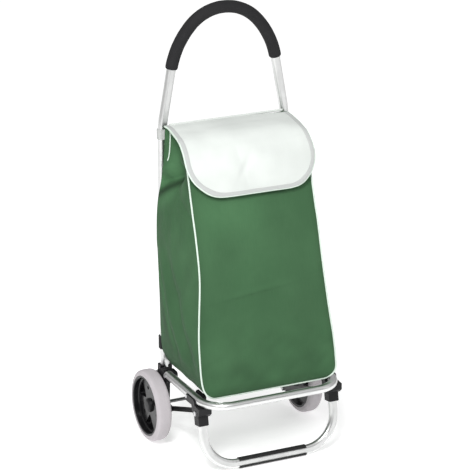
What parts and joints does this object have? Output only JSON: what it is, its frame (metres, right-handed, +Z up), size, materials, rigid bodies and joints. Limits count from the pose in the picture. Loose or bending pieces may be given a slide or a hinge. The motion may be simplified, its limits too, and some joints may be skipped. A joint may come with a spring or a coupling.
{
  "type": "two-wheeled shopping cart",
  "caption": "Upright two-wheeled shopping cart: bent aluminium tube frame with a foam hand grip, a tall cloth bag with a hinged flap, and a fold-back front stand.",
  "frame": {"origin": "centre of the footprint on the floor", "axes": "+X to the right seen from behind the front, +Y to the back where the handle stands, +Z up"},
  "size_m": [0.418, 0.349, 1.004],
  "materials": {
    "tube": "satin anodised",
    "grip": "closed-cell foam, fine grain",
    "moulding": "fine texture",
    "hub": "gloss",
    "tyre": "pale solid rubber",
    "foot": "matte",
    "fastener": "zinc plated",
    "axle": "dark steel",
    "strut": "black paint",
    "bush": "nylon",
    "webbing": "black webbing",
    "tab": "woven tape",
    "bag_cloth": "woven polyester, slight sheen",
    "board": "plain",
    "piping": "piped cord",
    "flap_cloth": "coated cloth",
    "binding": "grosgrain tape"
  },
  "bodies": {
    "frame": {"axle": "axle", "axle_washer_left": "fastener", "axle_washer_right": "fastener", "bag_board": "board", "bag_piping": "piping", "bag_shell": "bag_cloth", "bag_strap_high_left": "tab", "bag_strap_high_right": "tab", "bag_strap_low_left": "webbing", "bag_strap_low_right": "webbing", "base_loop": "tube", "clamp_rivet_left": "fastener", "clamp_rivet_right": "fastener", "handle_grip": "grip", "handle_pin_left": "fastener", "handle_pin_right": "fastener", "handle_tube": "tube", "loop_screw_left": "fastener", "loop_screw_right": "fastener", "push_nut_left": "fastener", "push_nut_right": "fastener", "rear_bracket_left": "moulding", "rear_bracket_right": "moulding", "stand_bracket_left": "moulding", "stand_bracket_right": "moulding", "stand_pin_left": "fastener", "stand_pin_right": "fastener", "strut_left": "strut", "strut_pin_left": "fastener", "strut_pin_right": "fastener", "strut_right": "strut"},
    "flap": {"flap_binding": "binding", "flap_hem": "flap_cloth", "flap_panel": "flap_cloth"},
    "stand": {"foot_pad": "foot", "stand_socket_left": "moulding", "stand_socket_right": "moulding", "stand_tube": "tube"},
    "wheel_left": {"bush_left": "bush", "hub_cap_left": "moulding", "hub_left": "hub", "tyre_left": "tyre"},
    "wheel_right": {"bush_right": "bush", "hub_cap_right": "moulding", "hub_right": "hub", "tyre_right": "tyre"}
  },
  "joints": [
    {"name": "flap_open", "type": "hinge", "parent": "frame", "child": "flap", "pos_m": [0, 0.094, 0.7406], "axis": [-1, 0, 0], "range_deg": [0, 90]},
    {"name": "stand_fold", "type": "hinge", "parent": "frame", "child": "stand", "pos_m": [0, -0.1186, 0.1397], "axis": [1, 0, 0], "range_deg": [0, 60]},
    {"name": "wheel_left_spin", "type": "hinge", "parent": "frame", "child": "wheel_left", "pos_m": [-0.19175, 0.092, 0.0825], "axis": [1, 0, 0], "continuous": true},
    {"name": "wheel_right_spin", "type": "hinge", "parent": "frame", "child": "wheel_right", "pos_m": [0.19175, 0.092, 0.0825], "axis": [1, 0, 0], "continuous": true}
  ]
}
